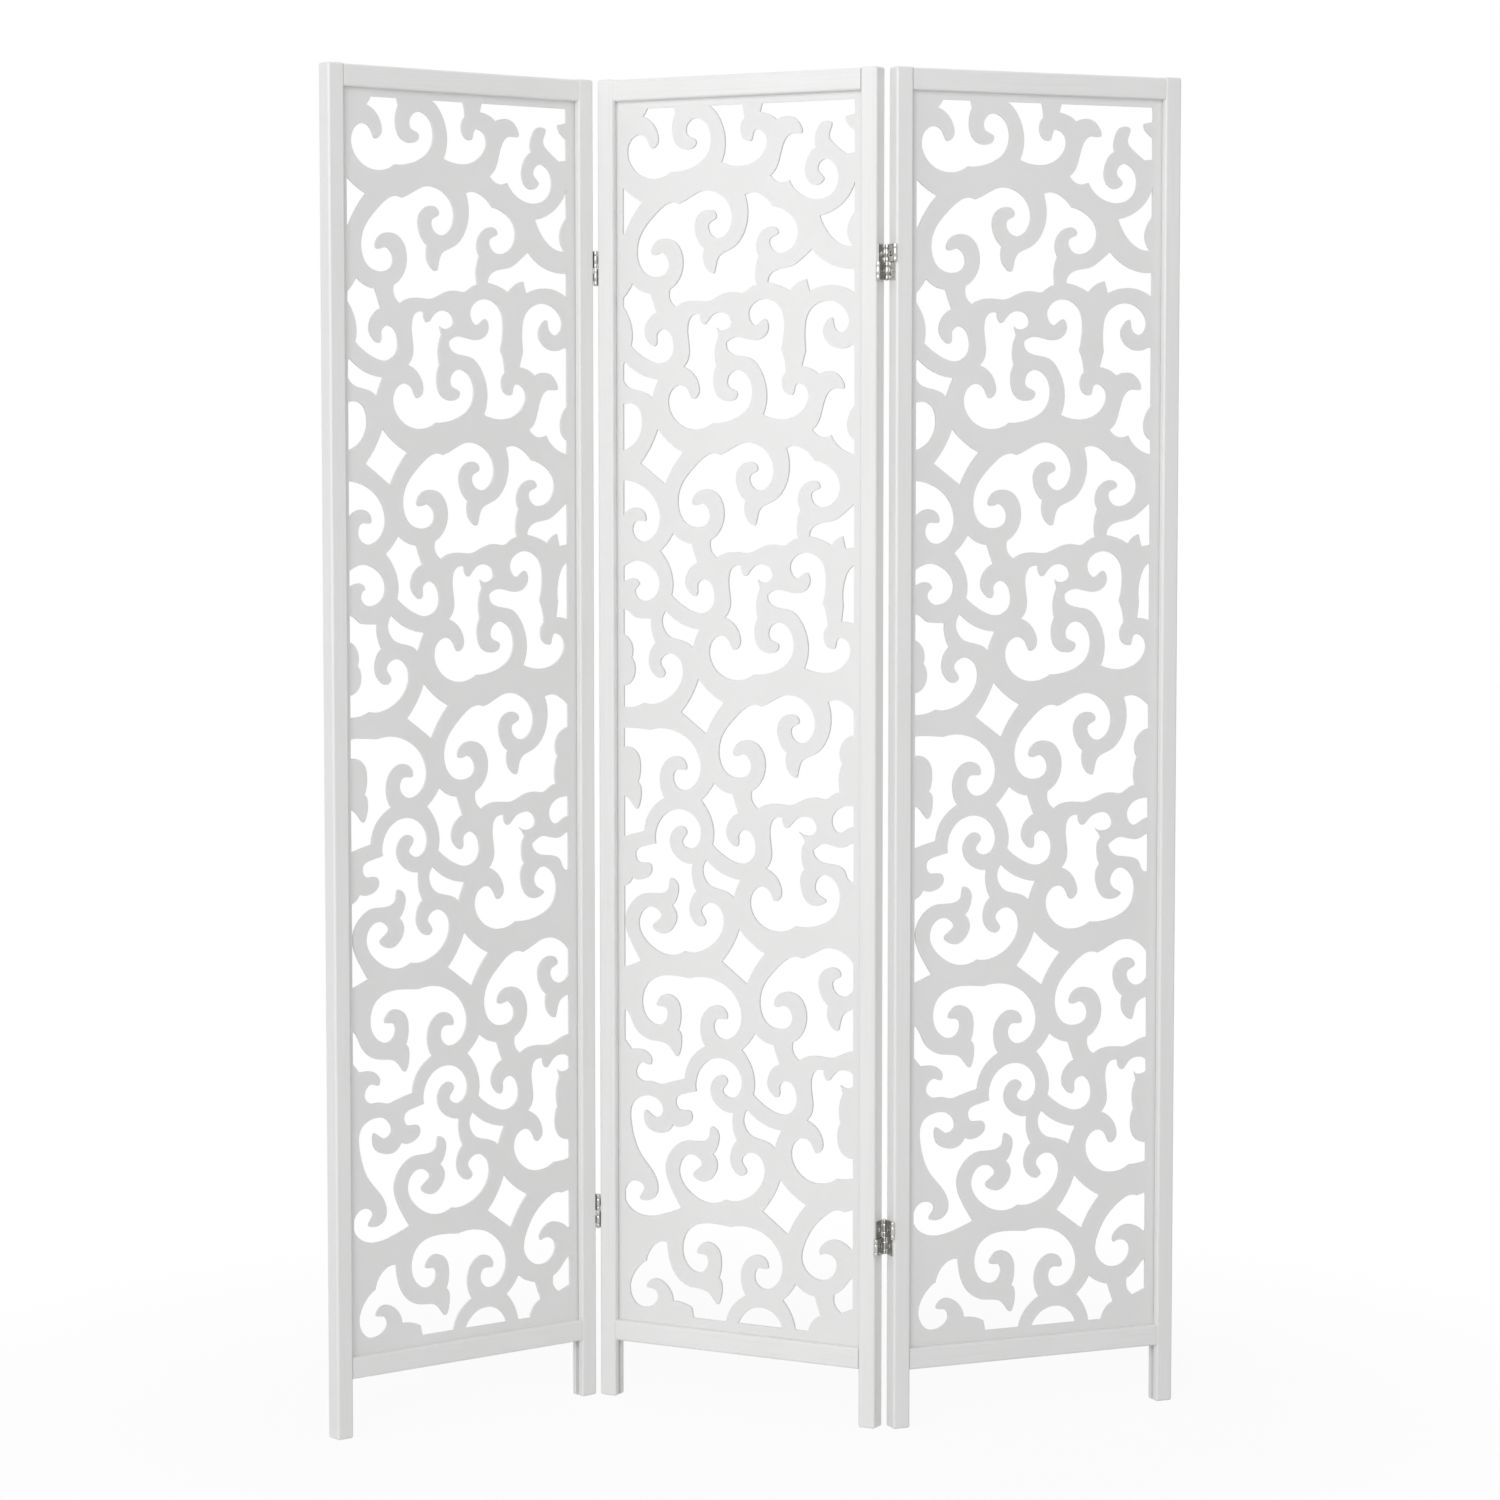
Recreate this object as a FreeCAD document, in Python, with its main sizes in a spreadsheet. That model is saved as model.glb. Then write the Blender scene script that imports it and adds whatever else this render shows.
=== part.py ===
import FreeCAD, Part
import math
import os
import re

import Sketcher

# A folding screen of three framed fretwork panels, joined by four double-action hinges.
# Millimetres, +Z up. The viewer stands at -Y and the panels zigzag along X.
# Origin: on the floor, at the centre of the screen's outer box as seen from above.

# Driving sizes of the sheet: alias, value, what it is
SIZES = [
    # Panels
    ("panel_height", 1700.0, "stile length, floor to top"),
    ("panel_width", 400.0, "outer edge to outer edge"),
    ("panel_thickness", 23.0, "stock thickness of stiles and rails"),
    ("stile_width", 23.0, "stile face width"),
    ("rail_height", 27.0, "rail face height"),
    ("foot_height", 74.0, "clear height below the bottom rail"),
    ("rail_drop", 1.0, "top rail below the stile tops"),
    ("stile_round", 3.0, "rounding of the stile arrises"),
    ("rail_round", 3.0, "rounding of the long rail arrises"),
    # Joints between stile, rail and board
    ("groove_depth", 8.0, "panel groove in stiles and rails"),
    ("tongue_thickness", 6.4, "tongue on the rail ends"),
    ("joint_clearance", 0.05, "glue room on each side of a tongue"),
    ("groove_end_gap", 0.5, "room between a groove floor and what enters it"),
    ("board_thickness", 3.0, "fretwork board"),
    ("board_clearance", 0.1, "room on each side of the board in a rail groove"),
    # Fretwork
    ("left_border", 9.0, "plain strip of board along the left stile"),
    ("right_border", 12.5, "plain strip of board along the right stile"),
    ("top_border", 10.0, "plain strip of board along the top rail"),
    ("bottom_border", 12.0, "plain strip of board along the bottom rail"),
    ("scroll_pitch", 322.8, "repeat of the scrollwork along its axis"),
    ("scroll_tilt", 10.6, "lean of the scroll axis from upright, degrees"),
    ("scroll_origin_across", 146.9, "scroll origin from the panel's left edge"),
    ("scroll_origin_height", 900.1, "scroll origin above the floor"),
    ("smallest_opening", 14.0, "a clipped opening narrower than this stays solid"),
    # Hinges
    ("panel_gap", 4.7, "between stile edges when two panels are in line"),
    ("hinge_height", 44.0, "length of a hinge"),
    ("upper_hinge_drop", 239.0, "hinge centre below the stile tops"),
    ("lower_hinge_rise", 141.0, "hinge centre above the bottom rail"),
    ("barrel_radius", 2.5, "outside of a knuckle"),
    ("barrel_standoff", 0.5, "pin axis outside the panel face"),
    ("leaf_thickness", 1.1, "plate on the stile edge"),
    ("leaf_inset", 3.0, "leaf edge inside the panel face"),
    ("link_thickness", 1.0, "plate between two pins"),
    ("link_gap", 0.6, "between the upper and lower link"),
    ("knuckle_gap", 0.3, "between neighbouring knuckles"),
    ("leaf_knuckle_height", 10.0, "knuckle of a leaf"),
    ("sweep_clearance", 0.3, "link web clear of a leaf knuckle"),
    ("access_radius", 3.2, "screwdriver hole in a link, over a leaf screw"),
    ("pin_radius", 1.1, "hinge pin"),
    ("pin_fit", 0.03, "pin in a link knuckle, radial"),
    ("pin_running_fit", 0.06, "pin in a leaf knuckle, radial"),
    ("pin_head_radius", 1.9, "button head of a pin"),
    ("pin_head_height", 0.7, "button head of a pin"),
    # Hinge screws
    ("screw_spacing", 21.0, "between the two screws of a leaf"),
    ("screw_radius", 1.5, "shank"),
    ("screw_length", 12.0, "shank below the head"),
    ("screw_point", 2.5, "tapered end of the shank"),
    ("screw_point_radius", 0.4, "blunt end of the taper"),
    ("screw_head_radius", 2.6, "countersunk head"),
    ("screw_head_height", 1.1, "countersunk head"),
    ("screw_fit", 0.05, "room round a screw, radial"),
    ("recess_length", 3.0, "cross recess of a screw"),
    ("recess_width", 0.7, "cross recess of a screw"),
    ("recess_depth", 0.6, "cross recess of a screw"),
    # Pose of the photographed screen, in degrees from the X axis
    ("left_angle", 38.9, "left panel, right end away from the viewer"),
    ("middle_angle", 28.4, "middle panel, right end towards the viewer"),
    ("right_angle", 23.8, "right panel, right end away from the viewer"),
    # Cutting
    ("overrun", 2.0, "cutters run this far past a face"),
]

# Scrollwork template. The axis is squared up, SQUARES_PER_PITCH squares to one repeat:
# a point is (squares right of the axis, squares down from the origin).
# An opening is a closed chain of runs. A run is a smooth curve through its points,
# or a straight line where it has two, and the next run starts where it ends.
SQUARES_PER_PITCH = 322
AXIS_DIAMOND_SHARES = [
    [(2, -361), (14, -343), (33, -325)],
    [(33, -325), (15, -309), (0, -290)],
    [(0, -290), (-17, -308), (-31, -323)],
    [(-31, -323), (-12, -341), (2, -361)],
]
AXIS_COMMA_SHARES = [
    [(0, -227), (10, -216), (24, -209)],
    [(24, -209), (26, -195), (28, -184)],
    [(28, -184), (14, -177), (6, -162), (9, -150), (18, -143), (21, -146), (23, -156), (32, -161.5),
     (41, -157), (45, -143), (40, -127), (27, -120), (7, -126), (-17, -150)],
    [(-17, -150), (-12, -167), (-13, -184), (-23, -208)],
    [(-23, -208), (-10, -217), (0, -227)],
]
AXIS_LEAF_SHARES = [
    [(-29, -132), (-14, -115), (15, -100)],
    [(15, -100), (7, -89), (1, -78)],
    [(1, -78), (-12, -90), (-31, -100), (-37, -113), (-29, -132)],
]
RIGHT_SCROLL_SHARES = [
    [(52, -209), (67, -218), (78, -242), (70, -267), (50, -273.5), (37, -266), (35, -258), (38, -256),
     (48, -256.5), (57, -246), (52, -231), (38, -228), (20, -237), (13.5, -257), (21, -282), (44, -303),
     (76, -315.5), (85, -312)],
    [(85, -312), (98, -315), (120, -320.5), (144, -312), (157, -292), (152, -267), (136, -257.5),
     (123, -266), (124, -279), (135, -284), (135, -289), (122, -296), (107, -289), (102, -270),
     (111, -249)],
    [(111, -249), (107, -236), (110, -223), (118, -216), (123, -224), (131, -236), (149, -241),
     (167, -253), (178, -272), (180, -303)],
    [(180, -303), (196, -302), (210, -291), (217, -280)],
    [(217, -280), (233, -271), (246, -249), (237, -227), (220, -221), (206, -228), (206, -242),
     (218, -247), (217, -252), (203, -256), (189, -247), (184, -234), (186, -224)],
    [(186, -224), (178, -208), (176, -189)],
    [(176, -189), (165, -187), (155, -183.5), (146, -186), (127, -188), (102, -183.5), (92, -186),
     (77, -189), (57, -185)],
    [(57, -185), (50, -197), (52, -209)],
]
RIGHT_KEY_SHARES = [
    [(54, -109), (66, -128), (68, -153), (75, -168), (90, -169)],
    [(90, -169), (89.5, -160), (92, -156), (104, -163), (118, -166), (130, -159), (130, -147),
     (122, -143), (110, -148)],
    [(110, -148), (111, -137)],
    [(111, -137), (103, -122), (101, -101)],
    [(101, -101), (93, -83), (96, -63), (110, -54), (123, -58), (124, -62), (114, -71), (115, -84),
     (128, -90), (141, -82), (146, -64), (137, -42), (112, -30.5), (82, -31.5)],
    [(82, -31.5), (62, -27.5), (37, -37), (23.5, -63), (30, -82), (43, -87.5), (55, -79), (60, -66.5),
     (67, -69), (71, -84), (66, -98), (54, -109)],
]
RIGHT_HOOK_SHARES = [
    [(155, -28), (178, -18), (206, -20), (223, -39), (219, -53), (208, -56), (201, -45), (193, -48),
     (189, -62), (197, -74)],
    [(197, -74), (198, -90), (195.5, -103)],
    [(195.5, -103), (205, -130), (203, -156), (188, -168.5), (168, -167.5), (158, -154), (166, -140),
     (180, -145), (183, -137), (175, -124), (160, -122), (143, -128.5), (120, -127)],
    [(120, -127), (122, -115), (133, -108), (150, -101), (163, -80), (165, -52), (155, -28)],
]
RIGHT_WING_SHARES = [
    [(192, -511), (199, -521), (211, -524), (228, -524), (244, -530), (261, -539)],
    [(261, -539), (275, -521), (291, -510), (325, -502)],
    [(325, -502), (325, -468)],
    [(325, -468), (309, -473)],
    [(309, -473), (291, -486), (270, -491), (248, -488)],
    [(248, -488), (246, -504)],
    [(246, -504), (234, -502), (221, -494)],
    [(221, -494), (209, -503), (192, -511)],
]
FAR_RIGHT_SHARES = [
    [(220, -399), (229, -417)],
    [(229, -417), (232, -440), (244, -465), (268, -472), (290, -460), (295, -439), (284, -429),
     (274, -438), (273, -450), (260, -442), (260, -423), (274, -411), (292, -411)],
    [(292, -411), (360, -398)],
    [(360, -398), (360, -368)],
    [(360, -368), (340.5, -367)],
    [(340.5, -367), (337, -366.5), (336.5, -361), (340, -354), (346, -347)],
    [(346, -347), (350, -320)],
    [(350, -320), (329, -322)],
    [(329, -322), (316, -336), (310, -351), (316, -364), (307, -368), (294, -359), (289.5, -339)],
    [(289.5, -339), (273, -325), (271, -301), (283, -293), (293, -299), (287, -311), (297, -322),
     (311, -313), (313, -295), (302, -279), (285, -275), (262, -283), (245, -307)],
    [(245, -307), (230, -308), (220, -319)],
    [(220, -319), (235, -334), (247, -356), (259, -363), (273, -361), (270, -377), (254, -386),
     (242, -384)],
    [(242, -384), (233, -393), (220, -399)],
]
RIGHT_SAIL_SHARES = [
    [(279, -577), (303, -581), (322, -592), (338, -618)],
    [(338, -618), (345, -600)],
    [(345, -600), (340, -580)],
    [(340, -580), (328, -572), (316, -558), (317, -531)],
    [(317, -531), (302, -536), (287, -553), (279, -577)],
]
SCROLL_BOWL_SHARES = [
    [(-75, 103), (-78.5, 84), (-68, 60), (-50, 53), (-36, 64), (-37, 72), (-50, 70.5), (-58, 83),
     (-48, 97), (-28, 93), (-15, 70), (-22, 41), (-47, 20), (-80, 14.5)],
    [(-80, 14.5), (-100, 9), (-122, 6), (-144, 13), (-157, 37), (-151, 60), (-136, 68), (-123, 58),
     (-124, 47), (-136, 42), (-133, 36), (-119, 30), (-106, 38), (-103, 58), (-111, 78)],
]
SCROLL_FOOT_SHARES = [
    [(-146, 144), (-130, 142), (-113, 141)],
    [(-113, 141), (-103, 121), (-75, 103)],
]
LEFT_SCROLL_SHARES = SCROLL_BOWL_SHARES + [
    [(-111, 78), (-110, 98), (-119, 111), (-126, 99), (-138, 90), (-157, 84), (-174, 66), (-179, 45),
     (-178, 25)],
    [(-178, 25), (-191, 24), (-205, 32), (-214, 46)],
    [(-214, 46), (-235, 60), (-245, 82), (-236, 102), (-220, 105), (-205, 94), (-208, 84),
     (-219, 79), (-214, 72), (-203, 70), (-189, 80), (-184, 102)],
    [(-184, 102), (-169, 105), (-158, 115), (-162, 117), (-176, 115), (-183, 127), (-175, 137),
     (-160, 139), (-146, 144)],
] + SCROLL_FOOT_SHARES
LEFT_RAM_SHARES = [
    [(-99, 159), (-92, 136), (-74, 122), (-53, 121.5), (-36, 133), (-30, 150), (-36, 167), (-50, 172.5),
     (-60, 162), (-51, 151), (-54, 144), (-65, 143), (-78, 161), (-70, 182), (-50, 192)],
    [(-50, 192), (-54, 210), (-51, 228)],
    [(-51, 228), (-64, 244), (-64, 262), (-50, 273), (-45, 269), (-49, 255), (-37, 245), (-20, 255),
     (-20, 276), (-43, 299), (-83, 301)],
    [(-83, 301), (-105, 303), (-133, 285), (-143, 258), (-132, 240.5), (-115, 240.5), (-108, 252),
     (-123, 263), (-113, 274), (-95, 270), (-90, 241)],
    [(-90, 241), (-79, 228), (-79, 210), (-85, 206), (-91, 218), (-102, 223), (-126, 220), (-147, 228),
     (-162, 250), (-160, 275), (-149, 305)],
    [(-149, 305), (-180, 310.5), (-212, 307), (-230, 287), (-225, 269), (-209, 263.5), (-199, 274),
     (-208, 286), (-196, 290.5), (-180, 280), (-180, 261), (-196, 231), (-203, 195), (-194, 162),
     (-176, 156), (-156, 164), (-153, 180), (-165, 185), (-178, 174.5), (-182, 188), (-171, 203),
     (-141, 197)],
    [(-141, 197), (-126, 201.5), (-111, 191), (-112, 184), (-129, 178), (-130, 165), (-117, 160),
     (-99, 159)],
]
# Openings redrawn where the scrollwork runs into the border
WIDE_KEY_SHARES = [
    [(54, -109), (66, -128), (68, -153), (75, -168), (90, -169)],
    [(90, -169), (89.5, -160), (92, -156), (104, -162), (118, -166), (130, -163), (135.5, -153),
     (133, -145), (126, -142), (116, -143.5), (110, -148)],
    [(110, -148), (114, -141), (116, -134)],
    [(116, -134), (111, -129), (108, -119), (107, -109), (109, -101)],
    [(109, -101), (103, -95), (99.5, -80), (103, -63), (119, -53), (131.5, -58), (124, -65),
     (119.5, -77), (133, -90), (149, -80), (152, -59), (141, -38.5), (121, -29.5), (82, -31.5)],
    [(82, -31.5), (62, -27.5), (37, -37), (23.5, -63), (30, -82), (43, -87.5), (55, -79), (60, -66.5),
     (67, -69), (71, -84), (66, -98), (54, -109)],
]
BORDER_CURL_SHARES = [
    [(198, -144), (186, -144), (178, -142.5), (171, -139.5), (164, -140), (158.5, -148), (160, -160),
     (170, -168.5), (184, -170.5), (202, -165)],
    [(202, -165), (198, -144)],
]
BORDER_BEAK_SHARES = [
    [(190, -78), (171, -76)],
    [(171, -76), (166.5, -82), (164, -92), (151, -101), (131, -109), (126, -116), (125, -123)],
    [(125, -123), (131, -126), (143, -128.5), (157, -123), (169, -120.5), (179, -123.5), (195, -125)],
    [(195, -125), (190, -78)],
]
LOWEST_SCROLL_SHARES = [
    [(42, -260), (54, -260), (62.5, -252), (60, -239), (44, -228.5), (24, -235), (14, -255),
     (22, -277), (38, -296), (56, -308), (76, -314), (85, -311)],
    [(85, -311), (97, -312), (110, -316)],
    [(110, -316), (106, -264)],
    [(106, -264), (86, -263)],
    [(86, -263), (78, -272), (62, -278), (46, -272), (41, -265), (42, -260)],
]
LOWEST_CORNER_SHARES = [
    [(52, -209), (62, -213), (70, -219), (76, -224), (88, -226)],
    [(88, -226), (90, -192)],
    [(90, -192), (77, -189), (57, -185)],
    [(57, -185), (50, -197), (52, -209)],
]
BORDER_SCROLL_SHARES = SCROLL_BOWL_SHARES + [
    [(-111, 78), (-110, 98), (-119, 111), (-126, 99), (-138, 90), (-157, 84), (-174, 66), (-179.5, 47),
     (-182.5, 42), (-187, 46)],
    [(-187, 46), (-205, 60)],
    [(-205, 60), (-205, 72)],
    [(-205, 72), (-196, 74)],
    [(-196, 74), (-190.5, 83), (-184.5, 93.5)],
    [(-184.5, 93.5), (-176, 94.5), (-166, 97.5), (-158.5, 105), (-157, 112), (-160, 117), (-170, 113),
     (-178, 116), (-183, 126), (-176, 136), (-162, 139), (-153, 143), (-146, 144)],
] + SCROLL_FOOT_SHARES
BORDER_MOON_SHARES = [
    [(-52, 242.5), (-38, 242.5), (-28, 244.5), (-20.5, 251.5), (-18, 262), (-20.5, 277), (-30, 291),
     (-43, 298.5), (-62, 300)],
    [(-62, 300), (-52, 242.5)],
]
HALF_MOON_SHARES = [
    [(-99, 159), (-92, 136), (-74, 122), (-53, 121.5), (-36, 133), (-30, 150), (-36, 167)],
    [(-36, 167), (-99, 159)],
]
BORDER_HORN_SHARES = [
    [(-95, 130), (-80, 124), (-62, 120), (-41, 130), (-31, 150), (-38, 167), (-52, 173), (-64, 170),
     (-69, 162), (-61, 151)],
    [(-61, 151), (-63, 145), (-69, 141.5), (-76, 141.5), (-86, 145), (-96, 150)],
    [(-96, 150), (-95, 130)],
]
BORDER_RAM_SHARES = [
    [(-104, 178), (-90, 178), (-83, 182), (-76, 190), (-66, 194), (-52, 197)],
    [(-52, 197), (-54, 210), (-51, 228)],
    [(-51, 228), (-64, 244), (-64, 262), (-50, 273), (-45, 269), (-49, 255), (-37, 245), (-20, 255),
     (-20, 276), (-43, 299), (-83, 301)],
    [(-83, 301), (-105, 303), (-125, 296)],
    [(-125, 296), (-112, 274)],
    [(-112, 274), (-95, 270), (-87.5, 256), (-90, 241)],
    [(-90, 241), (-86.5, 232), (-87, 222), (-91, 214), (-104, 208)],
    [(-104, 208), (-104, 178)],
]
BORDER_WING_SHARES = [
    [(192, -511), (199, -521), (211, -524), (228, -524), (244, -530), (261, -539)],
    [(261, -539), (275, -486)],
    [(275, -486), (239, -487)],
    [(239, -487), (238, -503)],
    [(238, -503), (230, -501), (221, -494)],
    [(221, -494), (209, -503), (192, -511)],
]
BORDER_STRIP_SHARES = [
    [(217, -399), (223, -417)],
    [(223, -417), (225, -433), (230, -447), (237, -458), (248, -465)],
    [(248, -465), (262, -465)],
    [(262, -465), (240, -387)],
    [(240, -387), (229, -395), (217, -399)],
]
EVERY_REPEAT = {-4, -3, -2, -1, 0, 1, 2, 3, 4}
OPENING_SHARES = [
    (AXIS_DIAMOND_SHARES, EVERY_REPEAT),
    (AXIS_COMMA_SHARES, EVERY_REPEAT),
    (AXIS_LEAF_SHARES, EVERY_REPEAT),
    (RIGHT_SCROLL_SHARES, EVERY_REPEAT - {3}),
    (RIGHT_KEY_SHARES, EVERY_REPEAT - {1}),
    (RIGHT_HOOK_SHARES, EVERY_REPEAT - {1}),
    (RIGHT_WING_SHARES, EVERY_REPEAT - {1}),
    (FAR_RIGHT_SHARES, EVERY_REPEAT - {1}),
    (RIGHT_SAIL_SHARES, EVERY_REPEAT),
    (LEFT_SCROLL_SHARES, EVERY_REPEAT - {1}),
    (BORDER_SCROLL_SHARES, {1}),
    (LEFT_RAM_SHARES, EVERY_REPEAT - {-2, -1, 2}),
    (BORDER_MOON_SHARES, {-2}),
    (BORDER_HORN_SHARES, {-1}),
    (BORDER_RAM_SHARES, {-1}),
    (BORDER_WING_SHARES, {1}),
    (BORDER_STRIP_SHARES, {1}),
    (WIDE_KEY_SHARES, {1}),
    (BORDER_CURL_SHARES, {1}),
    (BORDER_BEAK_SHARES, {1}),
    (LOWEST_SCROLL_SHARES, {3}),
    (LOWEST_CORNER_SHARES, {3}),
    (HALF_MOON_SHARES, {2}),
]
# Slivers of openings beside the border that stay solid: closed polygons and their repeat
SOLID_SHARES = [
    ([(-188, 116), (-170, 112), (-160, 113), (-157.5, 116), (-157, 131), (-188, 131)], 2),
]

doc = FreeCAD.newDocument("FoldingScreen")
ALIASES = {alias for alias, value, note in SIZES}


def make_sheet():
    """Fill the spreadsheet that drives the model."""
    sheet = doc.addObject("Spreadsheet::Sheet", "Sizes")
    for row, (alias, value, note) in enumerate(SIZES, start=1):
        sheet.set(f"A{row}", alias)
        sheet.set(f"B{row}", str(value))
        sheet.set(f"C{row}", note)
        sheet.setAlias(f"B{row}", alias)
    doc.recompute()
    return sheet


SHEET = make_sheet()


def size(alias):
    """Value of one cell of the sheet."""
    return float(SHEET.get(alias))


def bind(piece, property_name, formula):
    """Tie a property to the sheet; the formula names cells by alias."""
    def cell(word):
        return "Sizes." + word.group() if word.group() in ALIASES else word.group()
    piece.setExpression(property_name, re.sub(r"[a-z_]+", cell, formula))


def move_to(piece, corner):
    """Tie a piece's position to three formulas."""
    for axis, formula in zip("xyz", corner):
        bind(piece, f"Placement.Base.{axis}", formula)


# Helpers for Part primitives and booleans

def block(name, lengths, corner):
    piece = doc.addObject("Part::Box", name)
    for side, formula in zip(("Length", "Width", "Height"), lengths):
        bind(piece, side, formula)
    move_to(piece, corner)
    return piece


def rod(name, radius, height, base):
    piece = doc.addObject("Part::Cylinder", name)
    bind(piece, "Radius", radius)
    bind(piece, "Height", height)
    move_to(piece, base)
    return piece


def taper(name, lower_radius, upper_radius, height, base):
    piece = doc.addObject("Part::Cone", name)
    bind(piece, "Radius1", lower_radius)
    bind(piece, "Radius2", upper_radius)
    bind(piece, "Height", height)
    move_to(piece, base)
    return piece


def fused(name, pieces):
    whole = doc.addObject("Part::MultiFuse", name)
    whole.Shapes = pieces
    return whole


def grouped(name, pieces):
    group = doc.addObject("Part::Compound", name)
    group.Links = pieces
    return group


def cut(name, base, tools):
    """Base less all the tools."""
    result = doc.addObject("Part::Cut", name)
    result.Base = base
    result.Tool = tools[0] if len(tools) == 1 else grouped(name + "_tools", tools)
    return result


# Helpers for PartDesign bodies

def origin_plane(body, role):
    return next(feature for feature in body.Origin.OriginFeatures if feature.Role == role)


def new_sketch(body, name, role):
    sketch = body.newObject("Sketcher::SketchObject", name)
    sketch.AttachmentSupport = (origin_plane(body, role), [""])
    sketch.MapMode = "FlatFace"
    return sketch


def dimension(sketch, kind, places, name, formula):
    """Add one driving dimension and tie it to the sheet."""
    index = sketch.addConstraint(Sketcher.Constraint(kind, *places, 1.0))
    sketch.renameConstraint(index, name)
    bind(sketch, f"Constraints.{name}", formula)


def rectangle_sketch(body, name, role, corner, lengths):
    """Rectangle with its lower left corner at two formulas, or at the origin where they are None."""
    sketch = new_sketch(body, name, role)
    unit = [(1, 1), (2, 1), (2, 2), (1, 2)]
    points = [FreeCAD.Vector(x, y, 0) for x, y in unit]
    for start, end in zip(points, points[1:] + points[:1]):
        sketch.addGeometry(Part.LineSegment(start, end), False)
    for side in range(4):
        sketch.addConstraint(Sketcher.Constraint("Coincident", side, 2, (side + 1) % 4, 1))
        level = "Horizontal" if side % 2 == 0 else "Vertical"
        sketch.addConstraint(Sketcher.Constraint(level, side))
    dimension(sketch, "DistanceX", (0, 1, 0, 2), "across", lengths[0])
    dimension(sketch, "DistanceY", (1, 1, 1, 2), "along", lengths[1])
    if corner is None:
        sketch.addConstraint(Sketcher.Constraint("Coincident", 0, 1, -1, 1))
    else:
        dimension(sketch, "DistanceX", (-1, 1, 0, 1), "offset_across", corner[0])
        dimension(sketch, "DistanceY", (-1, 1, 0, 1), "offset_along", corner[1])
    return sketch


def every_edge(edge):
    return True


def runs_across(edge):
    """Whether an edge lies along X."""
    box = edge.BoundBox
    return box.XLength > box.YLength + box.ZLength


def round_edges(body, name, base, keep, radius):
    """Fillet the edges of the base feature that the test keeps."""
    doc.recompute()
    edges = [f"Edge{number}" for number, edge in enumerate(base.Shape.Edges, start=1) if keep(edge)]
    fillet = body.newObject("PartDesign::Fillet", name)
    fillet.Base = (base, edges)
    bind(fillet, "Radius", radius)
    return fillet


# Frame timber

def stile(name, screw_heights):
    """Stile: outer edge at x = 0, front at y = 0; groove along the inner edge, pilot holes outside."""
    body = doc.addObject("PartDesign::Body", name)
    plan = rectangle_sketch(body, name + "_plan", "XY_Plane", None, ("stile_width", "panel_thickness"))
    pad = body.newObject("PartDesign::Pad", name + "_stock")
    pad.Profile = plan
    bind(pad, "Length", "panel_height")
    round_edges(body, name + "_arrises", pad, every_edge, "stile_round")

    groove_plan = rectangle_sketch(
        body, name + "_groove_plan", "XY_Plane",
        ("stile_width - groove_depth", "(panel_thickness - tongue_thickness) / 2 - joint_clearance"),
        ("groove_depth + overrun", "tongue_thickness + 2 * joint_clearance"))
    groove = body.newObject("PartDesign::Pocket", name + "_groove")
    groove.Profile = groove_plan
    groove.Type = "ThroughAll"
    groove.Reversed = True

    if screw_heights:
        holes_plan = new_sketch(body, name + "_pilot_plan", "YZ_Plane")
        for number, height in enumerate(screw_heights):
            circle = Part.Circle(FreeCAD.Vector(1, 1 + 4 * number, 0), FreeCAD.Vector(0, 0, 1), 1)
            holes_plan.addGeometry(circle, False)
            dimension(holes_plan, "Radius", (number,), f"radius_{number}", "screw_radius + screw_fit")
            dimension(holes_plan, "DistanceX", (-1, 1, number, 3), f"depth_{number}", "panel_thickness / 2")
            dimension(holes_plan, "DistanceY", (-1, 1, number, 3), f"height_{number}", height)
        holes = body.newObject("PartDesign::Pocket", name + "_pilot_holes")
        holes.Profile = holes_plan
        holes.Reversed = True
        bind(holes, "Length", "screw_length + screw_head_height - leaf_thickness + screw_fit")
    return body


def rail(name):
    """Rail: left shoulder at x = 0, front at y = 0, board groove in the upper edge."""
    body = doc.addObject("PartDesign::Body", name)
    stock = body.newObject("PartDesign::AdditiveBox", name + "_stock")
    bind(stock, "Length", "panel_width - 2 * stile_width")
    bind(stock, "Width", "panel_thickness")
    bind(stock, "Height", "rail_height")
    round_edges(body, name + "_arrises", stock, runs_across, "rail_round")

    tongue = body.newObject("PartDesign::AdditiveBox", name + "_tongue")
    bind(tongue, "Length", "panel_width - 2 * stile_width + 2 * (groove_depth - groove_end_gap)")
    bind(tongue, "Width", "tongue_thickness")
    bind(tongue, "Height", "rail_height")
    move_to(tongue, ("groove_end_gap - groove_depth", "(panel_thickness - tongue_thickness) / 2", "0"))

    groove = body.newObject("PartDesign::SubtractiveBox", name + "_groove")
    bind(groove, "Length", "panel_width - 2 * stile_width + 2 * (groove_depth + overrun)")
    bind(groove, "Width", "board_thickness + 2 * board_clearance")
    bind(groove, "Height", "groove_depth + overrun")
    move_to(groove, ("-groove_depth - overrun", "(panel_thickness - board_thickness) / 2 - board_clearance",
                     "rail_height - groove_depth"))
    return body


# Fretwork board

def scroll_point(across, down, repeat):
    """Place a template point in the panel's plane, seen from the front."""
    square = size("scroll_pitch") / SQUARES_PER_PITCH
    tilt = math.radians(size("scroll_tilt"))
    along = down * square + repeat * size("scroll_pitch")
    x = size("scroll_origin_across") + across * square * math.cos(tilt) + along * math.sin(tilt)
    z = size("scroll_origin_height") + across * square * math.sin(tilt) - along * math.cos(tilt)
    return FreeCAD.Vector(x, 0, z)


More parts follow.
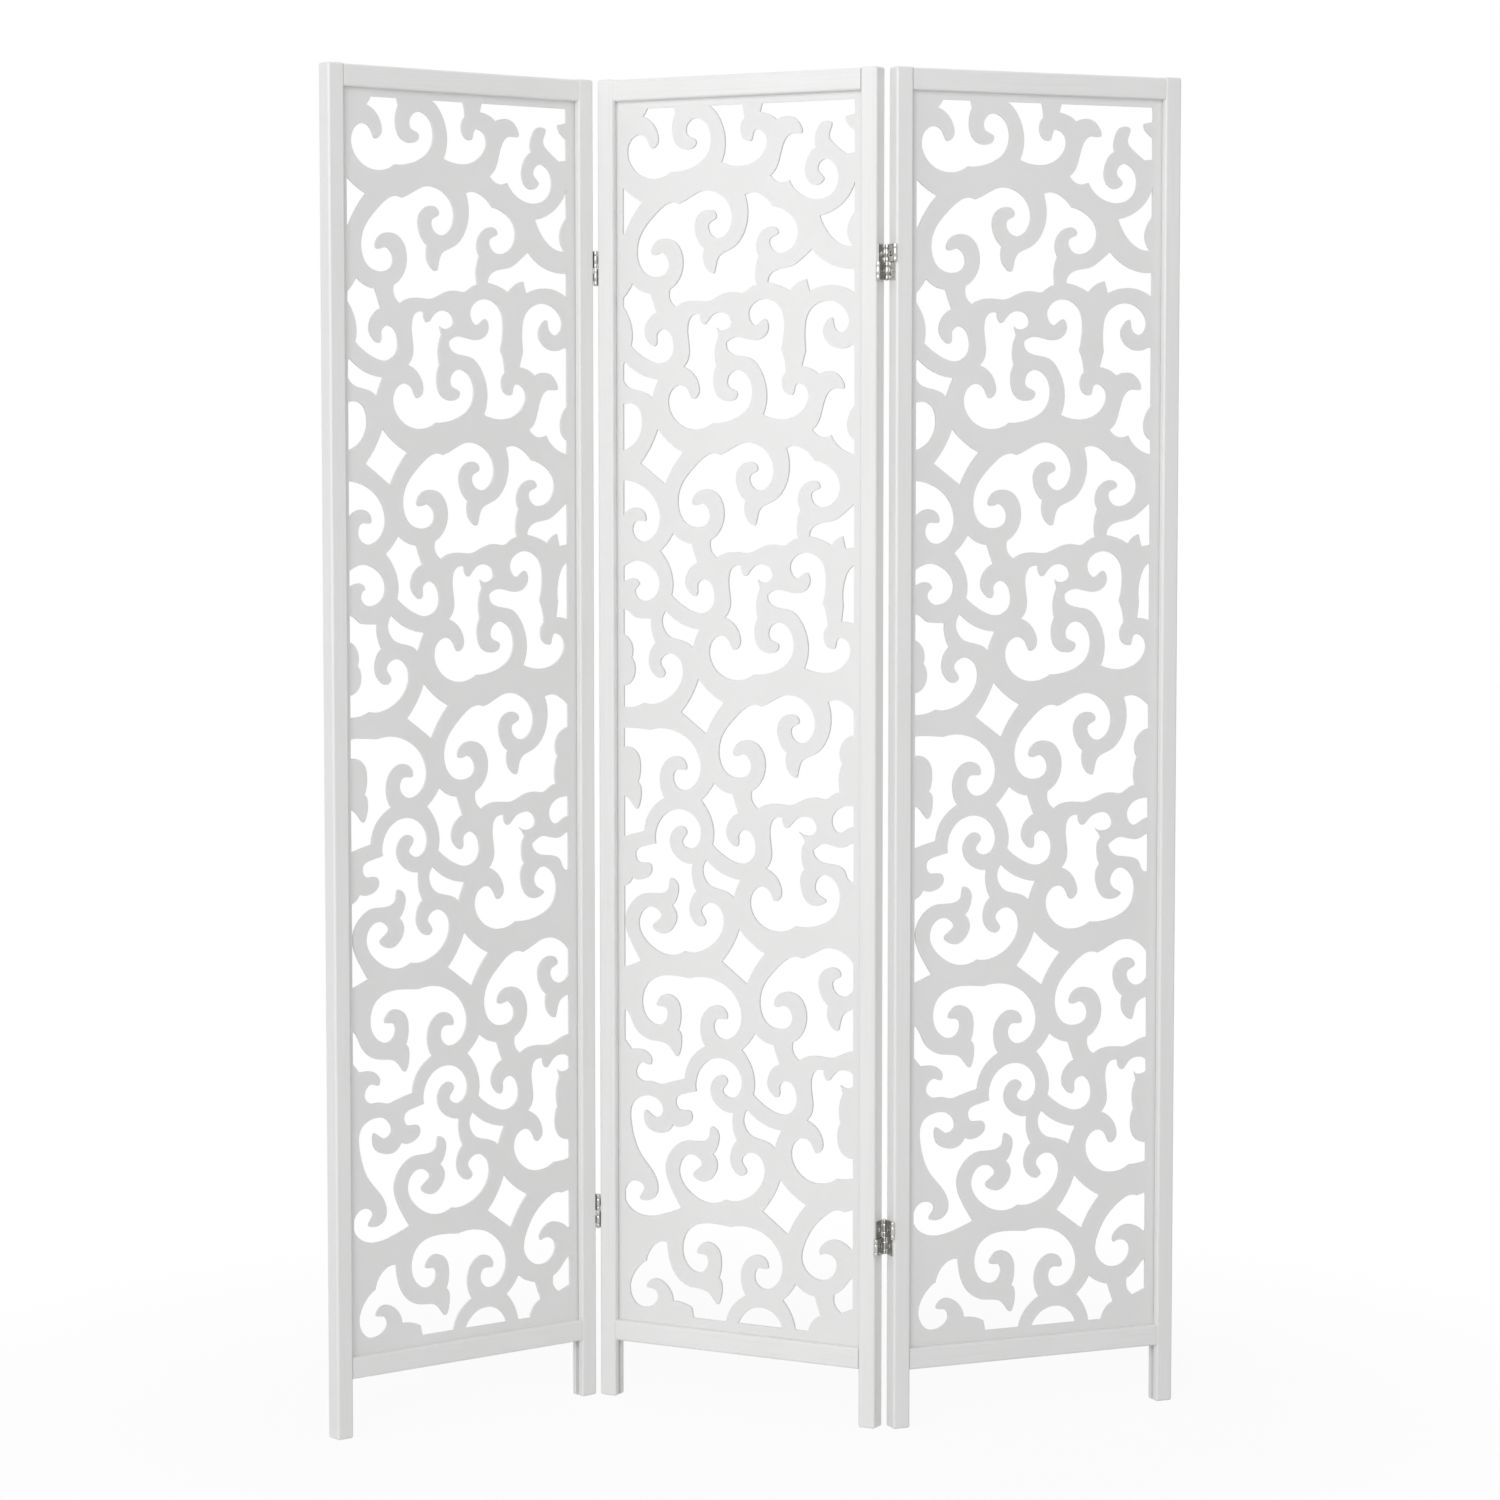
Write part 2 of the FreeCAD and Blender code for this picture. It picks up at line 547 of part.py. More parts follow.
def opening_face(runs, repeat):
    """Face of one opening of the template."""
    edges = []
    for run in runs:
        points = [scroll_point(across, down, repeat) for across, down in run]
        if len(points) == 2:
            edges.append(Part.LineSegment(*points).toShape())
        else:
            curve = Part.BSplineCurve()
            curve.interpolate(points)
            edges.append(curve.toShape())
    return Part.Face(Part.Wire(edges))


def solid_patch(corners, repeat):
    """Face of a sliver that isn't sawn out."""
    points = [scroll_point(across, down, repeat) for across, down in corners]
    return Part.Face(Part.makePolygon(points + points[:1]))


def upright_rectangle(left, bottom, right, top):
    corners = [(left, bottom), (right, bottom), (right, top), (left, top), (left, bottom)]
    return Part.Face(Part.makePolygon([FreeCAD.Vector(x, 0, z) for x, z in corners]))


def fretwork_face():
    """Board outline less every opening, each clipped to the border."""
    inner_left = size("stile_width")
    inner_right = size("panel_width") - inner_left
    inner_bottom = size("foot_height") + size("rail_height")
    inner_top = size("panel_height") - size("rail_drop") - size("rail_height")
    window = upright_rectangle(inner_left + size("left_border"), inner_bottom + size("bottom_border"),
                               inner_right - size("right_border"), inner_top - size("top_border"))
    window = window.cut([solid_patch(corners, repeat) for corners, repeat in SOLID_SHARES])
    reach = size("groove_depth") - size("groove_end_gap")
    board = upright_rectangle(inner_left - reach, inner_bottom - reach,
                              inner_right + reach, inner_top + reach)
    openings = []
    for runs, repeats in OPENING_SHARES:
        for repeat in sorted(repeats):
            clipped = opening_face(runs, repeat).common(window)
            openings += [face for face in clipped.Faces
                         if min(face.BoundBox.XLength, face.BoundBox.ZLength) > size("smallest_opening")]
    return board.cut(openings)


def fretwork_pattern():
    """Flat face that the three boards are sawn to."""
    pattern = doc.addObject("Part::Feature", "fretwork_pattern")
    pattern.Shape = fretwork_face()
    return pattern


def fretwork_board(name, pattern):
    board = doc.addObject("Part::Extrusion", name)
    board.Base = pattern
    board.DirMode = "Custom"
    board.Dir = FreeCAD.Vector(0, 1, 0)
    board.Solid = True
    board.Symmetric = True
    bind(board, "LengthFwd", "board_thickness")
    return board


# Hinges
# Hinge frame: x = 0 midway between the stile edges, y = 0 at the front face, z = 0 at the hinge's foot.
# The pieces are drawn for the right leaf and the upper link. Turned half a turn about
# the Y axis at mid height, they are the left leaf and the lower link.

HALF_HEIGHT = "(hinge_height - link_gap) / 2"
LINK_KNUCKLE_HEIGHT = "((hinge_height - link_gap) / 2 - leaf_knuckle_height - 2 * knuckle_gap) / 2"
FRONT_AXIS = "-barrel_standoff"
BACK_AXIS = "panel_thickness + barrel_standoff"
UPPER_HALF_FOOT = "(hinge_height + link_gap) / 2"
SCREW_SEAT = ("panel_gap / 2 - leaf_thickness", "panel_thickness / 2")
LEAF_SCREW_HEIGHTS = ("(hinge_height - screw_spacing) / 2", "(hinge_height + screw_spacing) / 2")
INTO_STILE = FreeCAD.Rotation(FreeCAD.Vector(0, 1, 0), 90)


def leaf(name):
    """Plate on the stile edge with a front upper and a back lower knuckle."""
    plate = block(name + "_plate",
                  ("leaf_thickness", "panel_thickness - 2 * leaf_inset", "hinge_height"),
                  ("panel_gap / 2 - leaf_thickness", "leaf_inset", "0"))
    solids = [plate]
    bores = []
    knuckles = (("front", FRONT_AXIS, FRONT_AXIS, UPPER_HALF_FOOT),
                ("back", BACK_AXIS, "panel_thickness - leaf_inset", "0"))
    for side, axis, strap_start, half_foot in knuckles:
        foot = f"{half_foot} + {LINK_KNUCKLE_HEIGHT} + knuckle_gap"
        solids.append(rod(f"{name}_{side}_knuckle", "barrel_radius", "leaf_knuckle_height",
                          ("0", axis, foot)))
        solids.append(block(f"{name}_{side}_strap",
                            ("leaf_thickness", "barrel_standoff + leaf_inset", "leaf_knuckle_height"),
                            ("panel_gap / 2 - leaf_thickness", strap_start, foot)))
        bores.append(rod(f"{name}_{side}_bore", "pin_radius + pin_running_fit",
                         "leaf_knuckle_height + 2 * overrun", ("0", axis, f"{foot} - overrun")))
    for number, height in enumerate(LEAF_SCREW_HEIGHTS):
        sink = taper(f"{name}_sink_{number}", "screw_head_radius + screw_fit", "screw_radius + screw_fit",
                     "screw_head_height", SCREW_SEAT + (height,))
        hole = rod(f"{name}_hole_{number}", "screw_radius + screw_fit", "leaf_thickness + overrun",
                   SCREW_SEAT + (height,))
        for tool in (sink, hole):
            tool.Placement.Rotation = INTO_STILE
        bores += [sink, hole]
    return cut(name, fused(name + "_blank", solids), bores)


def link(name):
    """Plate between a front and a back pin, notched round the leaf knuckles and bored for a screwdriver."""
    solids = []
    access = rod(name + "_access", "access_radius", "link_thickness + 2 * overrun",
                 ("-link_thickness / 2 - overrun", "panel_thickness / 2", LEAF_SCREW_HEIGHTS[1]))
    access.Placement.Rotation = INTO_STILE
    bores = [access]
    web_inset = "(barrel_radius + sweep_clearance - barrel_standoff)"
    solids.append(block(name + "_web",
                        ("link_thickness", f"panel_thickness - 2 * {web_inset}", HALF_HEIGHT),
                        ("-link_thickness / 2", web_inset, UPPER_HALF_FOOT)))
    upper_foot = f"hinge_height - {LINK_KNUCKLE_HEIGHT}"
    for level, foot in (("low", UPPER_HALF_FOOT), ("high", upper_foot)):
        solids.append(block(f"{name}_{level}_arm",
                            ("link_thickness", "panel_thickness + 2 * barrel_standoff", LINK_KNUCKLE_HEIGHT),
                            ("-link_thickness / 2", FRONT_AXIS, foot)))
        for side, axis in (("front", FRONT_AXIS), ("back", BACK_AXIS)):
            solids.append(rod(f"{name}_{side}_{level}_knuckle", "barrel_radius", LINK_KNUCKLE_HEIGHT,
                              ("0", axis, foot)))
    for side, axis in (("front", FRONT_AXIS), ("back", BACK_AXIS)):
        bores.append(rod(f"{name}_{side}_bore", "pin_radius + pin_fit", "hinge_height + 2 * overrun",
                         ("0", axis, "-overrun")))
    return cut(name, fused(name + "_blank", solids), bores)


def pin_pair(name):
    """Front and back pin of the upper link, button heads up."""
    pins = []
    for side, axis in (("front", FRONT_AXIS), ("back", BACK_AXIS)):
        shank = rod(f"{name}_{side}_shank", "pin_radius", HALF_HEIGHT, ("0", axis, UPPER_HALF_FOOT))
        head = taper(f"{name}_{side}_head", "pin_head_radius", "pin_radius", "pin_head_height",
                     ("0", axis, "hinge_height"))
        pins.append(fused(f"{name}_{side}", [shank, head]))
    return grouped(name, pins)


def screw(name):
    """Countersunk screw, head at the origin, shank along +Z."""
    head = taper(name + "_head", "screw_head_radius", "screw_radius", "screw_head_height", ("0", "0", "0"))
    shank = rod(name + "_shank", "screw_radius", "screw_length - screw_point",
                ("0", "0", "screw_head_height"))
    point = taper(name + "_point", "screw_radius", "screw_point_radius", "screw_point",
                  ("0", "0", "screw_head_height + screw_length - screw_point"))
    slots = [block(f"{name}_slot_{number}", lengths + ("recess_depth + overrun",),
                   (f"-{lengths[0]} / 2", f"-{lengths[1]} / 2", "-overrun"))
             for number, lengths in enumerate((("recess_length", "recess_width"),
                                               ("recess_width", "recess_length")))]
    return cut(name, fused(name + "_blank", [head, shank, point]), slots)


def screw_pair(name):
    """The two screws of a right leaf."""
    screws = []
    for number, height in enumerate(LEAF_SCREW_HEIGHTS):
        piece = screw(f"{name}_{number}")
        move_to(piece, SCREW_SEAT + (height,))
        piece.Placement.Rotation = INTO_STILE
        screws.append(piece)
    return grouped(name, screws)


# Hinge centres above the floor, lower and upper
HINGE_CENTRES = ("foot_height + rail_height + lower_hinge_rise", "panel_height - upper_hinge_drop")


def hinge_foot(level):
    """Height of a hinge's lower end above the floor."""
    centre = {
        "lower": size("foot_height") + size("rail_height") + size("lower_hinge_rise"),
        "upper": size("panel_height") - size("upper_hinge_drop"),
    }
    return centre[level] - size("hinge_height") / 2


# Places of the panels, seen from above, with the middle panel's front left corner as the start

def placement(x, y, z, degrees=0):
    return FreeCAD.Placement(FreeCAD.Vector(x, y, z), FreeCAD.Rotation(FreeCAD.Vector(0, 0, 1), degrees))


def panel_places():
    """Placements of the three panels: each is its lower front left corner, turned about Z."""
    half_gap = size("panel_gap") / 2
    front = -size("barrel_standoff")
    back = size("panel_thickness") + size("barrel_standoff")
    width = size("panel_width")
    middle = placement(0, 0, 0, -size("middle_angle"))
    left_axis = middle.multVec(FreeCAD.Vector(-half_gap, front, 0))
    right_axis = middle.multVec(FreeCAD.Vector(width + half_gap, back, 0))
    left = placement(left_axis.x, left_axis.y, 0, size("left_angle"))
    left = left.multiply(placement(-width - half_gap, -front, 0))
    right = placement(right_axis.x, right_axis.y, 0, size("right_angle"))
    right = right.multiply(placement(half_gap, -back, 0))
    return {"left": left, "middle": middle, "right": right}


def make_panels(places, pattern):
    """Five pieces of timber for each panel, keyed by node name."""
    width, thickness = size("panel_width"), size("panel_thickness")
    hinged_stiles = ("left_panel_right_stile", "middle_panel_left_stile", "middle_panel_right_stile",
                     "right_panel_left_stile")
    screw_heights = [f"{centre} {sign} screw_spacing / 2" for centre in HINGE_CENTRES for sign in "-+"]
    top_rail_height = size("panel_height") - size("rail_drop")
    upside_down = FreeCAD.Placement(FreeCAD.Vector(0, thickness, 0),
                                    FreeCAD.Rotation(FreeCAD.Vector(1, 0, 0), 180))
    for side, place in places.items():
        spots = {
            "left_stile": placement(0, 0, 0),
            "right_stile": placement(width, thickness, 0, 180),
            "bottom_rail": placement(size("stile_width"), 0, size("foot_height")),
            "top_rail": placement(size("stile_width"), 0, top_rail_height).multiply(upside_down),
            "fretwork_board": placement(0, thickness / 2, 0),
        }
        for part_name, spot in spots.items():
            name = f"{side}_panel_{part_name}"
            if part_name.endswith("stile"):
                piece = stile(name, screw_heights if name in hinged_stiles else [])
            elif part_name.endswith("rail"):
                piece = rail(name)
            else:
                piece = fretwork_board(name, pattern)
            yield name, piece, place.multiply(spot)


def make_hinges(places):
    """Eight pieces for each of the four hinges, keyed by node name."""
    half_gap = size("panel_gap") / 2
    joints = {"left": ("left", "middle"), "right": ("middle", "right")}
    half_turn = FreeCAD.Placement(FreeCAD.Vector(0, 0, size("hinge_height")),
                                  FreeCAD.Rotation(FreeCAD.Vector(0, 1, 0), 180))
    as_drawn = FreeCAD.Placement()
    for joint, (left_panel, right_panel) in joints.items():
        for level in ("upper", "lower"):
            foot = hinge_foot(level)
            seats = {
                left_panel: places[left_panel].multiply(placement(size("panel_width") + half_gap, 0, foot)),
                right_panel: places[right_panel].multiply(placement(-half_gap, 0, foot)),
            }
            pieces = [
                ("left_leaf", leaf, left_panel, half_turn),
                ("right_leaf", leaf, right_panel, as_drawn),
                ("left_screws", screw_pair, left_panel, half_turn),
                ("right_screws", screw_pair, right_panel, as_drawn),
                ("upper_link", link, joint, as_drawn),
                ("upper_pins", pin_pair, joint, as_drawn),
                ("lower_link", link, "middle", half_turn),
                ("lower_pins", pin_pair, "middle", half_turn),
            ]
            for part_name, make, carrier, turn in pieces:
                name = f"{joint}_{level}_hinge_{part_name}"
                yield name, make(name), seats[carrier].multiply(turn)


def centre_on_floor(pieces):
    """Shift every piece so that the origin lies under the middle of the whole screen."""
    box = FreeCAD.BoundBox()
    for piece in pieces:
        box.add(piece.Shape.BoundBox)
    shift = FreeCAD.Vector(-box.Center.x, -box.Center.y, -box.ZMin)
    for piece in pieces:
        place = piece.Placement
        place.move(shift)
        piece.Placement = place
    return shift


def check(pieces):
    """Stop if a feature failed or a sub-part has no sound solid."""
    for feature in doc.Objects:
        if "Invalid" in feature.State or "Error" in feature.State:
            raise RuntimeError(f"{feature.Name} failed: {feature.State}")
    for name, piece in pieces.items():
        if piece.Shape.isNull() or not piece.Shape.isValid() or not piece.Shape.Solids:
            raise RuntimeError(f"{name} has no valid solid")


def main():
    places = panel_places()
    pattern = fretwork_pattern()
    pieces = {}
    for name, piece, place in [*make_panels(places, pattern), *make_hinges(places)]:
        piece.Label = name
        piece.Placement = place
        pieces[name] = piece
    doc.recompute()
    shift = centre_on_floor(pieces.values())
    doc.recompute()
    check(pieces)
    os.makedirs("parts", exist_ok=True)
    for name, piece in pieces.items():
        piece.Shape.exportStep(f"parts/{name}.step")
    left_axis = places["middle"].multVec(
        FreeCAD.Vector(-size("panel_gap") / 2, -size("barrel_standoff"), 0)) + shift
    right_axis = places["middle"].multVec(
        FreeCAD.Vector(size("panel_width") + size("panel_gap") / 2,
                       size("panel_thickness") + size("barrel_standoff"), 0)) + shift
    print(f"{len(pieces)} pieces")
    print("left fold axis", [round(value, 3) for value in left_axis])
    print("right fold axis", [round(value, 3) for value in right_axis])


main()
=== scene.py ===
"""Looks for a three-panel folding fretwork screen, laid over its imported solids."""

import math

import bpy
from bpy.props import FloatProperty, FloatVectorProperty, PointerProperty
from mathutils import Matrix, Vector


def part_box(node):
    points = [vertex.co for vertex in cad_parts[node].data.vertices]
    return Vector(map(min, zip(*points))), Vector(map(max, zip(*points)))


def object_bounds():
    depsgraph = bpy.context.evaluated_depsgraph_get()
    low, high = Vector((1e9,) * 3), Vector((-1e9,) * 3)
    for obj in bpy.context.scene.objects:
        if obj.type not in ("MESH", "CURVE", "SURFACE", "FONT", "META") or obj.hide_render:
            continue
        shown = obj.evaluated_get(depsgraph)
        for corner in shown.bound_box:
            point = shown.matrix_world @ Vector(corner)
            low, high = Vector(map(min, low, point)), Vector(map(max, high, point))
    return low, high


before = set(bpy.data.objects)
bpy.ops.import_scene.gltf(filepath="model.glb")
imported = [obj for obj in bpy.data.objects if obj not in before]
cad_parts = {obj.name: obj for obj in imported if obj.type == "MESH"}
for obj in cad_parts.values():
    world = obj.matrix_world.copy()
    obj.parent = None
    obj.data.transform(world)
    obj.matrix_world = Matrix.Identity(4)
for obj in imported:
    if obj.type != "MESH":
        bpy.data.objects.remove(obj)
cad_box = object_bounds()

bl_info = {
    "name": "Folding fretwork screen",
    "version": (1, 0, 0),
    "blender": (4, 5, 0),
    "location": "3D View > Sidebar > Screen",
    "description": "Paints and plates a folding fretwork screen and sets a plain white studio round it",
    "category": "Object",
}

PANELS = ("left", "middle", "right")
FOLDS = ("left", "right")
LEVELS = ("upper", "lower")

# How much fine detail a noise has

USUAL_DETAIL = 2.0
GRAIN_DETAIL = 3.0
PLAIN_DETAIL = 1.0

# Size of a lump of noise along the panel, through it and upright, in metres

TIMBER_CLOUD = (0.11, 0.11, 0.23)
BOARD_CLOUD = (0.16, 0.16, 0.2)
BOARD_FIBRE = (0.0007, 0.0007, 0.0007)
STEEL_CLOUD = (0.006, 0.006, 0.009)
STEEL_PIT = (0.0006, 0.0006, 0.0006)
LEAF_LINES = (0.0004, 0.0004, 0.004)
PIN_LINES = (0.004, 0.004, 0.0004)
SCREW_LINES = (0.0006, 0.0006, 0.0006)

# Layers of fibre that show on a sawn edge, if the board were a metre thick

BOARD_LAYERS = 3000.0

# Levels of a noise between which a mark comes in

GRAIN_STEP = (0.46, 0.7)
PAINT_CLOUD_STEP = (0.3, 0.75)
STEEL_CLOUD_STEP = (0.35, 0.7)
PIT_STEP = (0.66, 0.76)

# How squarely a surface of a board looks forward: a sawn edge below the first, a face above the second

FACE_STEP = (0.25, 0.7)

# How bright the darker marks are, against the colour around them

TIMBER_SHADE = 0.95
BOARD_SHADE = 0.975
LAYER_SHADE = 0.93
STEEL_SHADE = 0.86
PIT_SHADE = 0.7

# How much of the timber's shade comes from its grain and how much from its clouds

GRAIN_PART = 0.55
CLOUD_PART = 0.45

# Roughness: what a finish starts from, and what its marks add or take away

FRAME_POLISH = 0.05
FRAME_CLOUD_DULLING = 0.1
GRAIN_DULLING = 0.05
BOARD_DULLING = 0.02
BOARD_CLOUD_DULLING = 0.08
RIM_DULLING = 0.16
LEAF_ROUGHNESS = 0.1
PIN_ROUGHNESS = 0.18
SCREW_ROUGHNESS = 0.42
STEEL_CLOUD_DULLING = 0.08
LINE_DULLING = 0.06

# Relief: the sawn edge against the spray ripple, and the marks in the steel in metres

RIM_COARSENESS = 2.0
LINE_HEIGHT = 0.000004
PIT_DEPTH = 0.00001

# Softened edges

SHARP_ANGLE = math.radians(40)
SOFT_EDGE_SEGMENTS = 2
WELD_REACH = 0.00001

# Studio, in metres but for the sensor in millimetres

WHITE = (1, 1, 1)
FLOOR_RADIUS = 30
FLOOR_SIDES = 96
SENSOR_WIDTH = 36
LAMPS = (
    {"name": "key_lamp", "power": "key_power", "width": 3.2, "height": 3.8, "place": (-5.2, -3.6, 2.9)},
    {"name": "front_lamp", "power": "front_power", "width": 4.0, "height": 4.0, "place": (-1.2, -6.8, 3.3)},
    {"name": "top_lamp", "power": "top_power", "width": 2.4, "height": 1.2, "place": (0, 0.2, 3.4)},
)


# Sizes and colours that a user would change


class PaintSettings(bpy.types.PropertyGroup):
    """The satin paint on the frames and the boards."""

    frame_colour: FloatVectorProperty(
        name="Frame colour", description="Paint on the stiles and rails",
        default=(0.85, 0.85, 0.845), min=0, max=1, subtype="COLOR")
    board_colour: FloatVectorProperty(
        name="Board colour", description="Paint on the faces of the fretwork boards",
        default=(0.82, 0.82, 0.816), min=0, max=1, subtype="COLOR")
    # Sawn edges are painted lighter than the board's faces: painted light for the edges that the lamps leave
    # in shade.
    rim_colour_painted_light: FloatVectorProperty(
        name="Cut edge colour", description="Paint on the sawn edges of the scrollwork",
        default=(0.88, 0.88, 0.872), min=0, max=1, subtype="COLOR")
    roughness: FloatProperty(
        name="Roughness", description="How dull the paint is, from 0, a mirror, to 1, chalk",
        default=0.34, min=0, max=1, subtype="FACTOR")
    grain_length: FloatProperty(
        name="Grain length", description="How far a line of the wood grain runs under the paint",
        default=0.14, min=0.01, unit="LENGTH")
    grain_width: FloatProperty(
        name="Grain width", description="How wide a line of the wood grain is",
        default=0.0022, min=0.0002, unit="LENGTH")
    grain_depth: FloatProperty(
        name="Grain depth", description="How deep the grain shows through the paint",
        default=0.00008, min=0, unit="LENGTH", precision=6)
    peel_size: FloatProperty(
        name="Paint ripple size", description="Width of one ripple that the spray gun leaves",
        default=0.0016, min=0.0002, unit="LENGTH")
    peel_depth: FloatProperty(
        name="Paint ripple depth", description="Height of the ripples that the spray gun leaves",
        default=0.00002, min=0, unit="LENGTH", precision=6)
    rim_softening: FloatProperty(
        name="Board edge softening", description="Width of the paint-filled edge round each opening",
        default=0.0003, min=0, unit="LENGTH", precision=5)


class PlatingSettings(bpy.types.PropertyGroup):
    """The plated steel of the hinges."""

    hinge_colour: FloatVectorProperty(
        name="Hinge colour", description="Nickel plate on the leaves and links",
        default=(0.55, 0.545, 0.53), min=0, max=1, subtype="COLOR")
    pin_colour: FloatVectorProperty(
        name="Pin colour", description="Bright steel of the hinge pins",
        default=(0.6, 0.6, 0.59), min=0, max=1, subtype="COLOR")
    screw_colour: FloatVectorProperty(
        name="Screw colour", description="Zinc plate on the screws",
        default=(0.9, 0.9, 0.89), min=0, max=1, subtype="COLOR")
    edge_softening: FloatProperty(
        name="Hinge edge softening", description="Width of the rolled edge on the leaves and links",
        default=0.0002, min=0, unit="LENGTH", precision=5)


class StudioSettings(bpy.types.PropertyGroup):
    """The floor, the lamps and the camera."""

    floor_colour: FloatVectorProperty(
        name="Floor colour", description="Colour of the floor where the lamps light it",
        default=(0.88, 0.88, 0.88), min=0, max=1, subtype="COLOR")
    sky_level: FloatProperty(
        name="Sky level", description="Light that comes evenly from all round",
        default=0.395, min=0)
    key_power: FloatProperty(
        name="Key lamp", description="Power of the soft lamp on the viewer's left",
        default=56, min=0, unit="POWER")
    front_power: FloatProperty(
        name="Front lamp", description="Power of the soft lamp behind and above the camera",
        default=220, min=0, unit="POWER")
    top_power: FloatProperty(
        name="Top lamp", description="Power of the soft lamp above the screen",
        default=9, min=0, unit="POWER")
    shadow_share: FloatProperty(
        name="Floor shadow", description="How much of the real floor shows close to the screen",
        default=0.08, min=0, max=1, subtype="FACTOR")
    shadow_reach: FloatProperty(
        name="Floor shadow reach",
        description="Distance from the middle at which the floor turns plain white",
        default=1.5, min=0.1, unit="LENGTH")
    camera_place: FloatVectorProperty(
        name="Camera place", description="Where the camera stands",
        default=(0.0072, -5.13, 1.2284), unit="LENGTH", subtype="TRANSLATION")
    camera_dip: FloatProperty(
        name="Camera dip", description="How far the camera looks down from level",
        default=math.radians(4.199), unit="ROTATION", subtype="ANGLE")
    camera_turn: FloatProperty(
        name="Camera turn", description="How far the camera looks to the left of square on",
        default=math.radians(0.2), unit="ROTATION", subtype="ANGLE")
    camera_lens: FloatProperty(
        name="Lens", description="Focal length in millimetres on a 36 mm wide sensor",
        default=97.8, min=1, unit="CAMERA")


# Finishes


class Wire:
    """A node's output, on which ordinary arithmetic can be done."""

    def __init__(self, finish, socket):
        self.finish = finish
        self.socket = socket

    def reckon(self, operation, *values):
        return self.finish.node("ShaderNodeMath", {"operation": operation}, dict(enumerate(values)))

    def __add__(self, other):
        return self.reckon("ADD", self, other)

    def __radd__(self, other):
        return self.reckon("ADD", other, self)

    def __sub__(self, other):
        return self.reckon("SUBTRACT", self, other)

    def __rsub__(self, other):
        return self.reckon("SUBTRACT", other, self)

    def __mul__(self, other):
        return self.reckon("MULTIPLY", self, other)

    def __rmul__(self, other):
        return self.reckon("MULTIPLY", other, self)

    def __abs__(self):
        return self.reckon("ABSOLUTE", self)


class Finish:
    """The node tree of one material, of the floor or of the surroundings."""

    def __init__(self, owner):
        owner.use_nodes = True
        self.owner = owner
        self.tree = owner.node_tree
        self.tree.nodes.clear()

    def node(self, kind, settings=None, values=None, output=0):
        """Add a node: its settings first, then the values or links of its sockets."""
        made = self.tree.nodes.new(kind)
        for name, value in (settings or {}).items():
            setattr(made, name, value)
        for key, value in (values or {}).items():
            if isinstance(value, Wire):
                self.tree.links.new(value.socket, made.inputs[key])
            else:
                made.inputs[key].default_value = value
        return Wire(self, made.outputs[output]) if made.outputs else made

    def place(self):
        """Coordinates in metres that stay with the piece when it moves."""
        return self.node("ShaderNodeTexCoord", output="Object")

    def along(self, vector, direction):
        """How far a vector goes in a direction."""
        return self.node(
            "ShaderNodeVectorMath", {"operation": "DOT_PRODUCT"}, {0: vector, 1: direction}, output="Value")

    def speckle(self, turn, cell, detail=USUAL_DETAIL):
        """Noise from 0 to 1 whose lumps have the size of the cell, turned about the upright."""
        laid = self.node(
            "ShaderNodeMapping", {"vector_type": "TEXTURE"},
            {"Vector": self.place(), "Rotation": (0, 0, turn), "Scale": cell})
        return self.node("ShaderNodeTexNoise", {}, {"Vector": laid, "Scale": 1.0, "Detail": detail})

    def blend(self, factor, first, second):
        """A colour between two others."""
        return self.node(
            "ShaderNodeMix", {"data_type": "RGBA"},
            {"Factor": factor, "A": first, "B": second}, output="Result")

    def steep(self, value, low, high):
        """0 below low, 1 above high and a smooth step between."""
        return self.node(
            "ShaderNodeMapRange", {"interpolation_type": "SMOOTHSTEP"},
            {"Value": value, "From Min": low, "From Max": high})

    def relief(self, height):
        """The normal of a surface with this height in metres."""
        return self.node("ShaderNodeBump", {}, {"Height": height, "Distance": 1.0})

    def white_rays(self):
        """1 for the rays that see plain white: from the eye, off metal and through glass."""
        seen = self.node("ShaderNodeLightPath", output="Is Camera Ray")
        mirrored = self.node("ShaderNodeLightPath", output="Is Glossy Ray")
        through = self.node("ShaderNodeLightPath", output="Is Transmission Ray")
        return seen + mirrored + through

    def surface(self, **sockets):
        """A principled surface with these sockets, joined to the output."""
        values = {name.replace("_", " "): value for name, value in sockets.items()}
        shader = self.node("ShaderNodeBsdfPrincipled", {}, values)
        self.node("ShaderNodeOutputMaterial", {}, {"Surface": shader})
        return self.owner


def opaque(colour, share=1.0):
    """A colour setting, at a share of its brightness, as the four numbers that a socket takes."""
    return (*(part * share for part in colour), 1.0)


def panel_run(panel):
    """The level direction from a panel's left stile to its right one."""
    ends = []
    for side in ("left", "right"):
        low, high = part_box(f"{panel}_panel_{side}_stile")
        ends.append((low + high) / 2)
    run = ends[1] - ends[0]
    run.z = 0
    return run.normalized()


def panel_turn(panel):
    """The angle about the upright by which a panel is turned from facing the viewer squarely."""
    run = panel_run(panel)
    return math.atan2(run.y, run.x)


